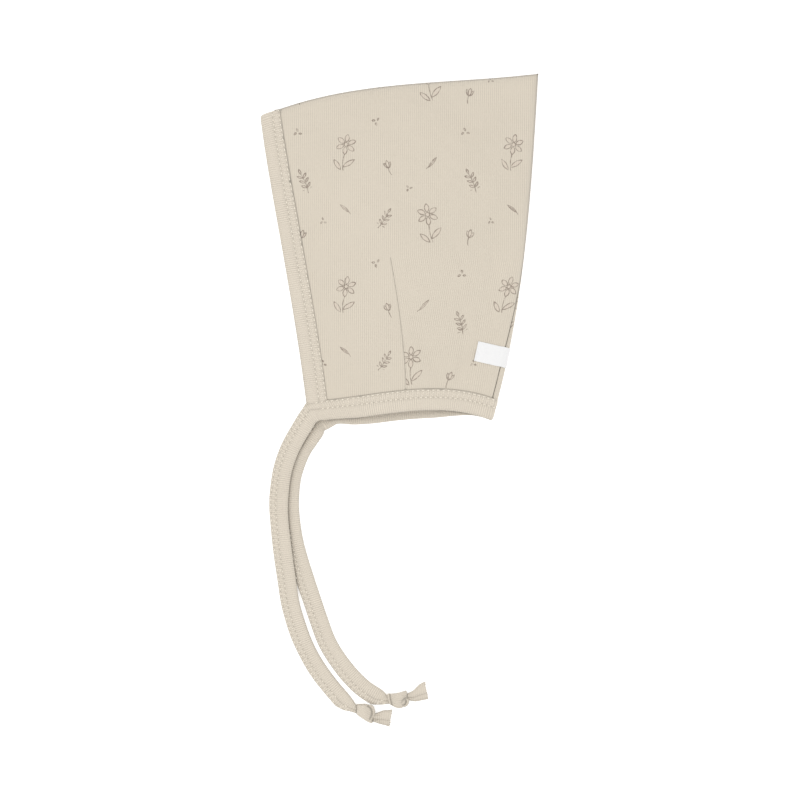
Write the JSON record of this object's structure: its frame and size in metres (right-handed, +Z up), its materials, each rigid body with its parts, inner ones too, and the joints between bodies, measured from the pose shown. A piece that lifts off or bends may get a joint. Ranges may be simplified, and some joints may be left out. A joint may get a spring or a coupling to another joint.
{
  "type": "pixie bonnet",
  "caption": "Baby's pixie bonnet in rib jersey with a peaked crown, bound face and neck edges and knotted ties, lying on its side.",
  "frame": {"origin": "middle of the bonnet's outline, on the surface that it lies on", "axes": "+Z up from the surface, +Y from the neck edge to the crown, +X from the face opening to the back of the head"},
  "size_m": [0.153, 0.3593, 0.0203],
  "materials": {
    "rib_jersey": "oatmeal fine rib cotton jersey with a light brown line print, matt",
    "binding": "oatmeal rib jersey binding with coverstitch rows, matt",
    "woven_label": "white satin-woven tape, blank"
  },
  "bodies": {
    "root": {"left_side_panel": "rib_jersey", "right_side_panel": "rib_jersey", "face_band": "binding", "neck_band": "binding", "left_tie": "binding", "right_tie": "binding", "left_knot": "binding", "right_knot": "binding", "label": "woven_label"}
  },
  "joints": []
}
